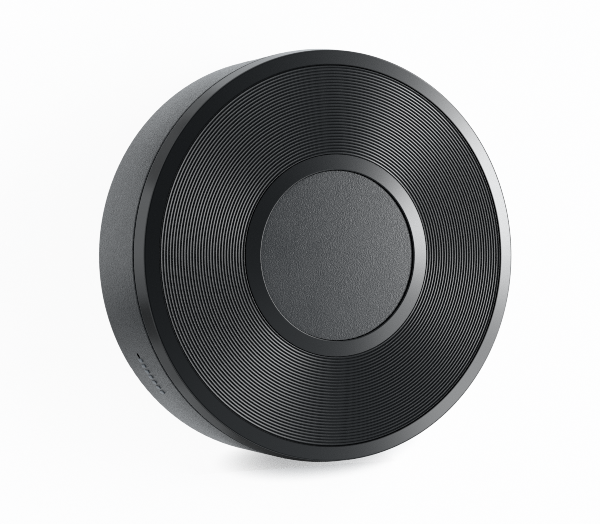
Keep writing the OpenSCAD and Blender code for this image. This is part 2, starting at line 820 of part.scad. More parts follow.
// Light pipe with a collar behind the wall and a sloped end that faces the diode
module light_pipe() {
    color("#dfe9ee")
        difference() {
            union() {
                towards_sockets([0, pipe_end_y, pipe_z])
                    cylinder(d = pipe_d, h = panel_y - socket_setback - pipe_end_y, $fn = small_fn);
                towards_sockets([0, pipe_collar_y, pipe_z])
                    cylinder(d = pipe_collar_d, h = pipe_collar_len, $fn = small_fn);
            }
            translate([0, pipe_end_y, pipe_z - pipe_d / 2])
                rotate([45, 0, 0]) translate([-pipe_d, -pipe_d, 0]) cube([2 * pipe_d, pipe_d, 3 * pipe_d]);
        }
}

module wifi_module_board() {
    color("#1b4f86") block(module_at, board_top, module_size);
}

// Drawn sheet metal can, open at the bottom
module wifi_shield_can() {
    color("#c4c6c9")
        difference() {
            block(can_at, module_top, can_size);
            block(can_at, module_top - over,
                can_size + [-2 * can_sheet_t, -2 * can_sheet_t, over - can_sheet_t]);
        }
}

module processor_chip() {
    color("#202022") block(processor_at, module_top, processor_size);
}

module memory_chip() {
    color("#202022") block(memory_at, module_top, memory_size);
}

module antenna_socket() {
    color("#cfb36a") {
        block(antenna_socket_at, module_top, [antenna_socket_w, antenna_socket_w, antenna_socket_h]);
        translate(concat(antenna_socket_at, module_top))
            cylinder(d = antenna_pin_d, h = antenna_socket_h + antenna_pin_h, $fn = small_fn);
    }
}

// Round cap that snaps over the socket's pin, with a ferrule for the lead
module antenna_plug() {
    color("#d2bd80")
        difference() {
            translate(concat(antenna_socket_at, antenna_plug_z))
                union() {
                    cylinder(d = antenna_plug_d, h = antenna_plug_h, $fn = small_fn);
                    translate([0, 0, antenna_plug_h / 2])
                        rotate([0, 90, 0])
                            cylinder(d = ferrule_d, h = antenna_plug_d / 2 + ferrule_len, $fn = small_fn);
                }
            translate(concat(antenna_socket_at, antenna_plug_z - over))
                cylinder(d = antenna_pin_d + 2 * antenna_pin_gap,
                    h = antenna_pin_h + antenna_pin_gap + over, $fn = small_fn);
        }
}

module antenna_lead() {
    color("#2a2a2c") tube(smooth(lead_route, lead_steps), lead_d, lead_sides);
}

// Flexible antenna strip bonded to the inside of the wall
module antenna_strip() {
    color("#c77f3a")
        rotate(antenna_span[0])
            rotate_extrude(angle = antenna_span[1] - antenna_span[0], $fn = round_fn)
                translate([antenna_r - antenna_t, antenna_z]) square([antenna_t, antenna_h]);
}

module flash_chip() {
    color("#222224") leaded_chip(flash_at, flash_size, flash_pins, flash_pitch);
}

module audio_converter_chip() {
    color("#222224") leaded_chip(converter_at, converter_size, converter_pins, converter_pitch);
}

module regulator_chip() {
    color("#222224") leaded_chip(regulator_at, regulator_size, regulator_pins, regulator_pitch);
}

// Drum core inductor with a square foot and top
module power_inductor() {
    flange = [inductor_w, inductor_w, inductor_flange_t];
    color("#3f4145") {
        block(inductor_at, board_top, flange);
        translate(concat(inductor_at, board_top))
            cylinder(d = inductor_core_d, h = inductor_h, $fn = small_fn);
        block(inductor_at, board_top + inductor_h - inductor_flange_t, flange);
    }
}

module crystal() {
    color("#d5d6d8") block(crystal_at, board_top, crystal_size);
}

module capacitor_bases() {
    color("#1c1c1e")
        for (k = [0:len(capacitors_at) - 1]) {
            w = capacitors_size[k][0] + 2 * capacitor_base_margin;
            block(capacitors_at[k], board_top, [w, w, capacitor_base_h]);
        }
}

module capacitor_cans() {
    color("#b9bbbe")
        for (k = [0:len(capacitors_at) - 1]) {
            can_r = capacitors_size[k][0] / 2;
            top = capacitors_size[k][1] - capacitor_base_h;
            translate(concat(capacitors_at[k], board_top + capacitor_base_h))
                rotate_extrude($fn = small_fn)
                    polygon(concat(
                        [[0, 0], [can_r, 0]],
                        round_corner([can_r, 0], [can_r, top], [0, top], capacitor_crown_r),
                        [[0, top]]
                    ));
        }
}

module chip_passives() {
    color("#8a6f4a")
        for (first = passive_rows, k = [0:passive_row - 1])
            block(first + [k * passive_step, 0], board_top, passive_size);
}

rear_housing();
front_cover();
centre_plate();
plate_adhesive();
feet();
case_screws();
main_board();
usb_socket_shell();
usb_socket_tongue();
usb_socket_contacts();
audio_jack_body();
audio_jack_contacts();
reset_switch_base();
reset_switch_frame();
reset_switch_dome();
reset_switch_plunger();
status_led();
light_pipe();
wifi_module_board();
wifi_shield_can();
processor_chip();
memory_chip();
antenna_socket();
antenna_plug();
antenna_lead();
antenna_strip();
flash_chip();
audio_converter_chip();
regulator_chip();
power_inductor();
crystal();
capacitor_bases();
capacitor_cans();
chip_passives();
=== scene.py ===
"""Looks of a round network music streamer that lies on its feet with its ribbed face up.

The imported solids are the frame. The cover, the centre plate, the feet and the snap dome of the reset
switch are turned surfaces, the housing is a joined copy of its solid with a rounded upper edge, and
the raised bars beside the reset hole are superellipsoids. Every other solid keeps its shape and gets
a finish of its own.
"""
import json
import math

import bmesh
import bpy
import numpy as np
from mathutils import Matrix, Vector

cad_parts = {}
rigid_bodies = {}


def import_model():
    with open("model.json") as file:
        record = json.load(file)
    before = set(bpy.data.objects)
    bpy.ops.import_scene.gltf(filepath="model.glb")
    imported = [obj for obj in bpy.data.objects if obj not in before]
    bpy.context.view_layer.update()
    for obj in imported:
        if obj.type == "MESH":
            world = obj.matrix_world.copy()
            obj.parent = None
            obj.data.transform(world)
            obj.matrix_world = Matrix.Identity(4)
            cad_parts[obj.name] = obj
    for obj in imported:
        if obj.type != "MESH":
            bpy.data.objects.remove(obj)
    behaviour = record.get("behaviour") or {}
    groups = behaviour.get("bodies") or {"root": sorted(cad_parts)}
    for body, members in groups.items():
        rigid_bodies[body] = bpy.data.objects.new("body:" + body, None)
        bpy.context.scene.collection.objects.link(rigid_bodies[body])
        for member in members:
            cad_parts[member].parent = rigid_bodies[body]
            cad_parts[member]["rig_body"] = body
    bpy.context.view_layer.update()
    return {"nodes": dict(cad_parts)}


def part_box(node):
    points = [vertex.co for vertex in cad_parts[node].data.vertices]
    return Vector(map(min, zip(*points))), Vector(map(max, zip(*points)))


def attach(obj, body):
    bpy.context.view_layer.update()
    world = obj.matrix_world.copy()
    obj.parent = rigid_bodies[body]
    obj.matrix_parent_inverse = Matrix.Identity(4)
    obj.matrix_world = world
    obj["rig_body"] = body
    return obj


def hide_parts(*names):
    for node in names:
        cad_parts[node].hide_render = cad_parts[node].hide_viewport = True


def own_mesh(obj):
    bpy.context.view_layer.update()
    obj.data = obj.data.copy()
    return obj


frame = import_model()

MM = 0.001
IMAGE_W = 600

# Sizes in millimetres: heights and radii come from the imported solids, the rest are details
housing_high = np.array(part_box("rear_housing")[1]) / MM
plate_low, plate_high = (np.array(corner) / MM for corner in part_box("centre_plate"))
feet_low, feet_high = (np.array(corner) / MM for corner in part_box("feet"))
cover_low = np.array(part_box("front_cover")[0]) / MM
film_low = np.array(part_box("plate_adhesive")[0]) / MM

CASE_R = housing_high[0]
PARTING_GAP = 0.5
SIDE_H, SIDE_TAPER = 4.0, 0.6
OUTER_BAND_W, OUTER_BAND_SLOPE = 2.9, math.radians(10)
INNER_RING_W, INNER_RING_SLOPE = 3.0, math.radians(8)
RIB_COUNT, RIB_H, RIB_DROP = 30, 0.13, 0.1
COVER_T = 2.0
TONGUE_H, TONGUE_T, TONGUE_GAP, WALL_T = 3.0, 1.2, 0.15, 2.0
PLATE_GAP, PLATE_CROWN = 0.1, 0.4
POST_R, POST_HOLE_R, POST_HOLE_TOP, POST_ROOT = 3.2, 1.34, 16.4, 0.4
FOOT_R = 5.0
SCREW_CIRCLE_R = 30.0
SCREW_ANGLES = np.radians([45, 135, 225, 315])
SCREW_AXES = SCREW_CIRCLE_R * np.stack([np.cos(SCREW_ANGLES), np.sin(SCREW_ANGLES)], 1)
RESET_TURN, RESET_Z = math.radians(207.6), 10.8
DOME_SEAT_R, DOME_R, DOME_RISE, DOME_T = 34.43, 1.25, 0.4, 0.08

# Radii of the softened edges, and how far beyond a rounding its last point lies
SOFT_EDGE, LOW_EDGE, HOUSING_EDGE = 0.38, 0.28, 0.22
RECESS_EDGE, RING_EDGE, LIP_EDGE, PLATE_EDGE = 0.08, 0.18, 0.05, 0.05
TONGUE_EDGE, UNDER_EDGE, POST_EDGE = 0.2, 0.3, 0.1
SHADE_MARGIN = 0.03

COVER_Z = housing_high[2] + PARTING_GAP
EDGE_Z = COVER_Z + SIDE_H
EDGE_R = CASE_R - SIDE_TAPER
RIB_FIELD_R = EDGE_R - OUTER_BAND_W
LIP_Z = EDGE_Z + OUTER_BAND_W * math.tan(OUTER_BAND_SLOPE)
GROOVE_Z = LIP_Z - RIB_DROP - RIB_H
PLATE_R = plate_high[0]
RECESS_R = PLATE_R + PLATE_GAP
RECESS_Z = film_low[2]
RIB_START_R = RECESS_R + INNER_RING_W
RING_Z = LIP_Z + INNER_RING_W * math.tan(INNER_RING_SLOPE)
UNDER_Z = GROOVE_Z - COVER_T
TONGUE_R = CASE_R - WALL_T - TONGUE_GAP
TONGUE_Z = housing_high[2] - TONGUE_H


# Shapes

def rounded(corners, radii, steps=6):
    """Outline through the corners, each swung through an arc of its own radius that touches both
    sides of the corner.

    A point on each side just beyond the arc keeps the shading of the straight stretches flat."""
    corners = np.asarray(corners, float)
    outline = []
    for k, (corner, radius) in enumerate(zip(corners, radii)):
        if radius == 0:
            outline.append(corner[None])
            continue
        to_last = corners[k - 1] - corner
        to_next = corners[(k + 1) % len(corners)] - corner
        to_last, to_next = to_last / np.linalg.norm(to_last), to_next / np.linalg.norm(to_next)
        half = math.acos(np.clip(to_last @ to_next, -1, 1)) / 2
        bisector = (to_last + to_next) / np.linalg.norm(to_last + to_next)
        centre = corner + bisector * radius / math.sin(half)
        reach, beyond = radius / math.tan(half), min(SHADE_MARGIN, radius / 4)
        start = corner + to_last * reach - centre
        end = corner + to_next * reach - centre
        turn = math.atan2(start[0] * end[1] - start[1] * end[0], start @ end)
        angles = math.atan2(start[1], start[0]) + turn * np.linspace(0, 1, steps + 1)
        outline += [
            corner[None] + to_last * (reach + beyond),
            centre + radius * np.stack([np.cos(angles), np.sin(angles)], 1),
            corner[None] + to_next * (reach + beyond),
        ]
    return np.concatenate(outline)


def turned(outline, segments, centre=(0, 0)):
    """Outline of radius and height carried round a vertical axis: point (r, z) goes to
    (r cos a, r sin a, z).

    The outline starts and ends on the axis, and its ends become poles."""
    outline = np.asarray(outline, float)
    around = np.linspace(0, 2 * np.pi, segments, endpoint=False)
    rings = outline[1:-1]
    verts = np.stack([
        np.outer(rings[:, 0], np.cos(around)) + centre[0],
        np.outer(rings[:, 0], np.sin(around)) + centre[1],
        np.repeat(rings[:, 1:], segments, 1),
    ], -1).reshape(-1, 3)
    poles = np.array([[*centre, outline[0, 1]], [*centre, outline[-1, 1]]])
    first = len(verts)
    top = first - segments
    low = np.arange(0, top, segments)[:, None]
    here, there = np.arange(segments), (np.arange(segments) + 1) % segments
    faces = np.stack(
        [low + here, low + there, low + segments + there, low + segments + here], -1
    ).reshape(-1, 4).tolist()
    faces += np.stack([there, here, np.full(segments, first)], -1).tolist()
    faces += np.stack([top + here, top + there, np.full(segments, first + 1)], -1).tolist()
    return np.concatenate([verts, poles]), faces


def piece(name, shells, node, sharp=40):
    """One mesh from several closed shells in millimetres, smooth except at edges that turn by more
    than sharp degrees."""
    verts = np.concatenate([shell[0] for shell in shells]) * MM
    starts = np.cumsum([0] + [len(shell[0]) for shell in shells])
    faces = [[v + start for v in face] for shell, start in zip(shells, starts) for face in shell[1]]
    mesh = bpy.data.meshes.new(name)
    mesh.from_pydata(verts, [], faces)
    return finish_piece(name, mesh, node, sharp)


def finish_piece(name, mesh, node, sharp):
    """Turns the faces outwards, shades them smooth up to the sharp angle, and lets the piece ride
    with its solid's body."""
    bm = bmesh.new()
    bm.from_mesh(mesh)
    bmesh.ops.recalc_face_normals(bm, faces=bm.faces)
    bm.to_mesh(mesh)
    bm.free()
    mesh.shade_smooth()
    mesh.set_sharp_from_angle(angle=math.radians(sharp))
    made = bpy.data.objects.new(name, mesh)
    bpy.context.scene.collection.objects.link(made)
    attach(made, frame["nodes"][node]["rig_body"])
    return made


def ribs():
    """Outline of the ribs from the innermost groove to the outermost: along each pitch the height
    follows a ridge whose crest is a hyperbola, 1 minus the softened distance from the crest."""
    crest_softness = 0.07
    along = np.array([0.0, 0.25, 0.42, 0.47, 0.5, 0.53, 0.58, 0.75])
    softened = np.sqrt((2 * along - 1) ** 2 + crest_softness ** 2)
    height = (softened[0] - softened) / (softened[0] - softened.min())
    places = (np.arange(RIB_COUNT)[:, None] + along).ravel() / RIB_COUNT
    radius = RIB_START_R + (RIB_FIELD_R - RIB_START_R) * places
    return np.stack([radius, GROOVE_Z + RIB_H * np.tile(height, RIB_COUNT)], 1)


def cover_shell():
    """Cover: the half section from the plate's recess over the ring, the ribs and the outer band to
    the side band, the tongue and the underside, carried round the axis, and four screw posts."""
    cover_segments, post_segments = 280, 48
    inner_r, post_top = TONGUE_R - TONGUE_T, UNDER_Z + POST_ROOT
    face = rounded(
        [
            [0, RECESS_Z], [RECESS_R, RECESS_Z], [RECESS_R, RING_Z],
            [RIB_START_R, LIP_Z], [RIB_START_R, GROOVE_Z],
        ],
        [0, RECESS_EDGE, RING_EDGE, LIP_EDGE, 0],
    )[:-1]
    rim = rounded(
        [
            [RIB_FIELD_R, GROOVE_Z], [RIB_FIELD_R, LIP_Z], [EDGE_R, EDGE_Z], [CASE_R, COVER_Z],
            [TONGUE_R, COVER_Z], [TONGUE_R, TONGUE_Z], [inner_r, TONGUE_Z], [inner_r, UNDER_Z],
            [0, UNDER_Z],
        ],
        [0, LIP_EDGE, SOFT_EDGE, LOW_EDGE, 0, TONGUE_EDGE, TONGUE_EDGE, UNDER_EDGE, 0],
    )
    post = rounded(
        [
            [POST_HOLE_R, cover_low[2]], [POST_R, cover_low[2]], [POST_R, post_top],
            [0, post_top], [0, POST_HOLE_TOP], [POST_HOLE_R, POST_HOLE_TOP],
        ],
        [POST_EDGE, POST_EDGE, 0, 0, 0, 0],
    )
    post = np.roll(post, -np.flatnonzero(post[:, 0] == 0)[-1], axis=0)
    shells = [turned(np.concatenate([face, ribs(), rim]), cover_segments)]
    shells += [turned(post, post_segments, axis) for axis in SCREW_AXES]
    return piece("cover_shell", shells, "front_cover")


def plate_disc():
    """Centre plate: a disc with a softened upper edge and a low crown, whose height falls with the
    square of the radius, its half section carried round the axis."""
    under_edge, crown_rows, segments = 0.1, 25, 240
    edge_z = plate_high[2] - PLATE_CROWN
    lower = rounded(
        [[0, plate_low[2]], [PLATE_R, plate_low[2]], [PLATE_R, edge_z], [0, edge_z]],
        [0, under_edge, PLATE_EDGE, 0],
    )[:-2]
    share = np.linspace(1, 0, crown_rows)[1:]
    crown = np.stack([(PLATE_R - PLATE_EDGE) * share, edge_z + PLATE_CROWN * (1 - share ** 2)], 1)
    return piece("plate_disc", [turned(np.concatenate([lower, crown]), segments)], "centre_plate")


def rubber_feet():
    """Feet: a pad with a round lower edge and a low dished middle, its half section carried round
    each screw's axis."""
    dish, tread_w, slope_w, segments = 0.12, 1.2, 0.4, 72
    dish_edge, tread_edge, upper_edge = 0.2, 0.4, 0.1
    low, high, tread_r = feet_low[2], feet_high[2], FOOT_R - tread_w
    outline = rounded(
        [
            [0, low + dish], [tread_r - slope_w, low + dish], [tread_r, low],
            [FOOT_R, low], [FOOT_R, high], [0, high],
        ],
        [0, dish_edge, dish_edge, tread_edge, upper_edge, 0],
    )
    return piece("rubber_feet", [turned(outline, segments, axis) for axis in SCREW_AXES], "feet")


def housing_shell():
    """Housing: a copy of its solid with its corners joined, its flat faces merged and its upper
    outer edge rounded."""
    same_place, same_plane, rim_margin, edge_steps, sharp = 1e-6, math.radians(0.5), 0.02, 4, 35
    edge_z = housing_high[2] * MM
    bm = bmesh.new()
    bm.from_mesh(frame["nodes"]["rear_housing"].data)
    bmesh.ops.remove_doubles(bm, verts=bm.verts, dist=same_place)
    bmesh.ops.dissolve_limit(bm, angle_limit=same_plane, verts=bm.verts, edges=bm.edges)
    # A ring of corners just below the rounding keeps the shading of the side flat
    below = edge_z - (HOUSING_EDGE + SHADE_MARGIN) * MM
    bmesh.ops.bisect_plane(
        bm, geom=[*bm.verts, *bm.edges, *bm.faces], plane_co=(0, 0, below), plane_no=(0, 0, 1)
    )
    upper = {
        v for v in bm.verts
        if v.co.z > edge_z - same_place and v.co.xy.length > (CASE_R - rim_margin) * MM
    }
    bmesh.ops.bevel(
        bm,
        geom=[edge for edge in bm.edges if upper.issuperset(edge.verts)],
        offset=HOUSING_EDGE * MM,
        segments=edge_steps,
        profile=0.5,
        affect="EDGES",
    )
    mesh = bpy.data.meshes.new("housing_shell")
    bm.to_mesh(mesh)
    bm.free()
    if "custom_normal" in mesh.attributes:
        mesh.attributes.remove(mesh.attributes["custom_normal"])
    return finish_piece("housing_shell", mesh, "rear_housing", sharp)


def rim_marks():
    """Raised bars beside the reset hole: superellipsoids, a power of the cosine and sine of two
    angles, bent round the rim so that their first axis runs along it, the second up and the third
    outwards."""
    count, squareness, columns, rows = 7, 0.5, 32, 17
    first, last, height = math.radians(209.1), math.radians(220.0), 10.7
    half = np.array([0.4, 0.95, 0.16])
    across = np.linspace(0, 2 * np.pi, columns, endpoint=False)
    up = np.linspace(-np.pi / 2, np.pi / 2, rows)

    def power(value):
        return np.sign(value) * np.abs(value) ** squareness

    along = np.outer(power(np.cos(up)), power(np.cos(across)))
    rise = np.outer(power(np.cos(up)), power(np.sin(across)))
    radius = CASE_R + half[2] * np.outer(power(np.sin(up)), np.ones(columns))
    grid = np.arange((rows - 2) * columns).reshape(rows - 2, columns)
    beside = np.roll(grid, -1, axis=1)
    inner, outer = np.full(columns, grid.size), np.full(columns, grid.size + 1)
    faces = np.stack([grid[:-1], beside[:-1], beside[1:], grid[1:]], -1).reshape(-1, 4).tolist()
    faces += np.stack([beside[0], grid[0], inner], -1).tolist()
    faces += np.stack([grid[-1], beside[-1], outer], -1).tolist()
    shells = []
    for turn in np.linspace(first, last, count):
        angle = turn + half[0] * along / CASE_R
        verts = np.stack(
            [radius * np.cos(angle), radius * np.sin(angle), height + half[1] * rise], -1
        )
        poles = [verts[0, :1], verts[-1, :1]]
        shells.append((np.concatenate([verts[1:-1].reshape(-1, 3), *poles]), faces))
    return piece("rim_marks", shells, "rear_housing", 180)


def snap_dome():
    """Snap dome behind the reset button: the quarters of two ellipses, one sheet apart, carried
    round the button's axis, which points outwards along a radius."""
    points, segments = 13, 48
    sweep = np.linspace(0, np.pi / 2, points)
    inner_r, inner_rise = DOME_R - DOME_T, DOME_RISE - DOME_T
    inner = np.stack([inner_r * np.sin(sweep), inner_rise * np.cos(sweep)], 1)
    outer = np.stack([DOME_R * np.cos(sweep), DOME_RISE * np.sin(sweep)], 1)
    verts, faces = turned(np.concatenate([inner, outer]), segments)
    out, side = DOME_SEAT_R + verts[:, 2], verts[:, 1]
    verts = np.stack([
        out * math.cos(RESET_TURN) - side * math.sin(RESET_TURN),
        out * math.sin(RESET_TURN) + side * math.cos(RESET_TURN),
        RESET_Z - verts[:, 0],
    ], 1)
    return piece("snap_dome", [(verts, faces)], "reset_switch_dome")


# Finishes

class Value:
    """A socket's output in Python expressions: every operator adds a Math node."""

    def __init__(self, finish, socket):
        self.finish, self.socket = finish, socket

    def maths(self, operation, a, b):
        return self.finish.node("ShaderNodeMath", {"operation": operation}, {0: a, 1: b})

    def __add__(self, other):
        return self.maths("ADD", self, other)

    def __sub__(self, other):
        return self.maths("SUBTRACT", self, other)

    def __rsub__(self, other):
        return self.maths("SUBTRACT", other, self)

    def __mul__(self, other):
        return self.maths("MULTIPLY", self, other)

    def __rtruediv__(self, other):
        return self.maths("DIVIDE", other, self)

    __radd__, __rmul__ = __add__, __mul__


class Finish:
    """Node tree of a material or of the world, and the nodes that its expressions add."""

    def __init__(self, owner):
        owner.use_nodes = True
        self.owner, self.tree = owner, owner.node_tree

    def node(self, kind, settings, inputs, output=0):
        """Adds a node: its settings first, then a number, a colour or a link for each socket."""
        made = self.tree.nodes.new(kind)
        for key, value in settings.items():
            setattr(made, key, value)
        for key, value in inputs.items():
            self.feed(made.inputs[key], value)
        return Value(self, made.outputs[output])

    def feed(self, socket, value):
        """Links a value to a socket, or sets the socket's own number or colour."""
        if isinstance(value, Value):
            self.tree.links.new(value.socket, socket)
        else:
            socket.default_value = value

    def surface(self, sockets):
        """Feeds the sockets of the material's own shader."""
        for key, value in sockets.items():
            self.feed(self.tree.nodes["Principled BSDF"].inputs[key], value)

    def show(self, shader):
        """Makes a shader the one that the material shows."""
        self.feed(self.tree.nodes["Material Output"].inputs["Surface"], shader)

    def place(self):
        """Object coordinates, in metres."""
        return self.node("ShaderNodeTexCoord", {}, {}, "Object")

    def length(self, vector):
        """Length of a vector."""
        return self.node("ShaderNodeVectorMath", {"operation": "LENGTH"}, {0: vector}, "Value")

    def noise(self, place, size, detail=2.0):
        """Noise whose features are about size millimetres across, from 0 to 1 around 0.5."""
        return self.node(
            "ShaderNodeTexNoise", {}, {"Vector": place, "Scale": 1 / (size * MM), "Detail": detail}
        )

    def between(self, value, low, high, to_low=0.0, to_high=1.0):
        """Smooth step of a value from one range to another."""
        return self.node(
            "ShaderNodeMapRange",
            {"interpolation_type": "SMOOTHSTEP"},
            {"Value": value, "From Min": low, "From Max": high, "To Min": to_low, "To Max": to_high},
        )

    def mix(self, share, first, second):
        """Colour between two colours."""
        sockets = {0: share, 6: first, 7: second}
        return self.node("ShaderNodeMix", {"data_type": "RGBA"}, sockets, 2)

    def bump(self, pattern, height, strength=1.0):
        """Normals of a surface that a pattern raises by up to height millimetres."""
        sockets = {"Strength": strength, "Distance": height * MM, "Height": pattern}
        return self.node("ShaderNodeBump", {}, sockets)


def grey(level, warm=0.0):
    """Colour of one grey level, a little warmer or cooler."""
    return (level * (1 + warm), level, level * (1 - warm), 1)


def cool(level):
    """Grey of the case plastics, a touch bluish."""
    return grey(level, -0.14)


def moulded(name, dark, light, rough, spread, grain, height, sockets=None):
    """Moulded surface: noise of the grain's size, and clouds of many grains, mix two colours and
    spread the roughness, and the grain raises the surface."""
    cloud_grains, fine_share = 40, 0.65
    finish = Finish(bpy.data.materials.new(name))
    place = finish.place()
    fine = finish.noise(place, grain)
    cloud = finish.noise(place, cloud_grains * grain, 3)
    share = fine_share * fine + (1 - fine_share) * cloud
    finish.surface({
        "Base Color": finish.mix(share, dark, light),
        "Roughness": rough - spread / 2 + spread * finish.between(fine + cloud, 0.6, 1.4),
        "Normal": finish.bump(fine, height),
        **(sockets or {}),
    })
    return finish.owner


def paint_groove_shade(material):
    """Paints shade into the bottoms of the grooves between the ribs, where the radius, counted in rib
    pitches, is near a whole number, and onto the wall beyond the last rib, by mixing a near-black matt
    into the glossy plastic."""
    slope_end, floor_start, groove_shade_share = 0.33, 0.42, 0.8
    finish = Finish(material)
    level = finish.node(
        "ShaderNodeVectorMath", {"operation": "MULTIPLY"}, {0: finish.place(), 1: (1, 1, 0)}
    )
    pitch = (RIB_FIELD_R - RIB_START_R) / RIB_COUNT * MM
    pitches = (finish.length(level) - RIB_START_R * MM) * (1 / pitch)
    share = finish.node("ShaderNodeMath", {"operation": "FRACT"}, {0: pitches})
    from_crest = finish.node("ShaderNodeMath", {"operation": "ABSOLUTE"}, {0: share - 0.5})
    groove = (
        finish.between(from_crest, slope_end, floor_start)
        * finish.between(pitches, -0.01, 0.01)
        * finish.between(pitches, RIB_COUNT - 0.45, RIB_COUNT - 0.5)
    )
    wall = (
        finish.between(pitches, RIB_COUNT - 0.03, RIB_COUNT)
        * finish.between(pitches, RIB_COUNT + 0.4, RIB_COUNT + 0.2)
    )
    # Painted shade: the grooves' bottoms and the outer wall turn near-black matt
    painted_shade = finish.node("ShaderNodeBsdfDiffuse", {}, {"Color": cool(0.002)})
    glossy = Value(finish, finish.tree.nodes["Principled BSDF"].outputs[0])
    factor = (groove + wall) * groove_shade_share
    finish.show(finish.node("ShaderNodeMixShader", {}, {0: factor, 1: glossy, 2: painted_shade}))
    return material


def plated(name, color, rough, grain, height):
    """Plated or rolled metal: noise drawn out along X varies its roughness and its surface, and
    stains darken its colour."""
    drawn_out, stain_size, tarnish = 0.15, 2.5, 0.72
    finish = Finish(bpy.data.materials.new(name))
    place = finish.place()
    drawn = finish.node(
        "ShaderNodeMapping", {}, {"Vector": place, "Scale": (drawn_out, 1, 1)}
    )
    lines = finish.noise(drawn, grain, 3)
    stain = finish.noise(place, stain_size, 3)
    tarnished = tuple(tarnish * c for c in color[:3]) + (1,)
    finish.surface({
        "Base Color": finish.mix(finish.between(stain, 0.45, 0.75), color, tarnished),
        "Roughness": rough - 0.06 + 0.12 * lines + 0.06 * stain,
        "Normal": finish.bump(lines, height),
        "Metallic": 1.0,
    })
    return finish.owner


def coated_board(name, dark, light):
    """Lacquered board: a weave of two wave patterns under a glossy lacquer, with raised copper areas
    from noise."""
    weave_scale, copper_size = 450.0, 3.5
    finish = Finish(bpy.data.materials.new(name))
    place = finish.place()
    warp, weft = (
        finish.node(
            "ShaderNodeTexWave", {"bands_direction": way}, {"Vector": place, "Scale": weave_scale}, 1
        )
        for way in ("X", "Y")
    )
    copper = finish.between(finish.noise(place, copper_size, 1), 0.48, 0.52)
    weave = warp + weft
    finish.surface({
        "Base Color": finish.mix(0.7 * copper + 0.15 * weave, dark, light),
        "Roughness": 0.28 + 0.1 * finish.noise(place, 0.6),
        "Normal": finish.bump(copper + 0.2 * weave, 0.02, strength=0.6),
    })
    return finish.owner


def clear_plastic(name):
    """Clear plastic with faint flow marks in its roughness."""
    finish = Finish(bpy.data.materials.new(name))
    flow = finish.noise(finish.place(), 1.2)
    finish.surface({
        "Base Color": finish.mix(flow, (0.86, 0.9, 0.92, 1), (0.95, 0.97, 0.98, 1)),
        "Roughness": 0.08 + 0.1 * flow,
        "Transmission Weight": 0.9,
    })
    return finish.owner


# Plastics and the like: darker and lighter colour, roughness and its spread, grain and its height
HARD_GLOSS = {"IOR": 1.6}
housing_finish = moulded(
    "spark_textured_plastic", cool(0.008), cool(0.02), rough=0.24, spread=0.08, grain=0.32, height=0.13
)
cover_finish = paint_groove_shade(moulded(
    "satin_cover_plastic", cool(0.002), cool(0.003), rough=0.17, spread=0.02, grain=0.35,
    height=0.0002, sockets=HARD_GLOSS,
))
plate_finish = moulded(
    "grained_plate_plastic", cool(0.006), cool(0.024), rough=0.32, spread=0.1, grain=0.22,
    height=0.036, sockets=HARD_GLOSS,
)
# The bars are the case's plastic; their paler grey is a painted highlight
mark_highlight_finish = moulded("pale_marks_painted_highlight", cool(0.12), cool(0.2), 0.22, 0.08, 0.2, 0.01)
rubber_finish = moulded("foot_rubber", grey(0.016), grey(0.028), 0.82, 0.1, 0.3, 0.02)
socket_finish = moulded("socket_plastic", grey(0.012), grey(0.02), 0.5, 0.1, 0.12, 0.006)
chip_finish = moulded("chip_resin", grey(0.014), grey(0.026), 0.62, 0.1, 0.1, 0.006)
button_finish = moulded("button_plastic", grey(0.62, 0.03), grey(0.72, 0.03), 0.45, 0.1, 0.15, 0.004)
film_finish = moulded("adhesive_film", grey(0.6, 0.05), grey(0.7, 0.05), 0.6, 0.1, 0.4, 0.01)
diode_finish = moulded(
    "diode_resin", (0.8, 0.76, 0.55, 1), (0.86, 0.82, 0.64, 1), 0.35, 0.1, 0.2, 0.003
)
strip_finish = moulded(
    "antenna_film", (0.36, 0.17, 0.05, 1), (0.5, 0.25, 0.08, 1), 0.4, 0.12, 0.6, 0.004
)
ferrite_finish = moulded("ferrite", grey(0.045), grey(0.07), 0.6, 0.14, 0.2, 0.02)
ceramic_finish = moulded(
    "fired_ceramic", (0.2, 0.14, 0.08, 1), (0.34, 0.24, 0.14, 1), 0.4, 0.1, 0.3, 0.004
)
lead_finish = moulded("lead_sleeve", grey(0.016), grey(0.026), 0.5, 0.1, 0.2, 0.006)

# Metals: colour, roughness, grain and its height
nickel_finish = plated("nickel_plating", (0.62, 0.61, 0.59, 1), 0.28, 0.06, 0.001)
tin_finish = plated("tin_plating", (0.7, 0.7, 0.7, 1), 0.34, 0.08, 0.001)
gold_finish = plated("gold_plating", (0.85, 0.62, 0.25, 1), 0.24, 0.05, 0.001)
zinc_finish = plated("zinc_plating", (0.55, 0.56, 0.58, 1), 0.32, 0.06, 0.002)
can_finish = plated("drawn_aluminium", (0.72, 0.73, 0.74, 1), 0.3, 0.07, 0.001)

board_finish = coated_board("board_lacquer", (0.008, 0.06, 0.02, 1), (0.02, 0.13, 0.05, 1))
module_finish = coated_board("module_lacquer", (0.006, 0.03, 0.1, 1), (0.015, 0.07, 0.2, 1))
pipe_finish = clear_plastic("light_pipe_plastic")

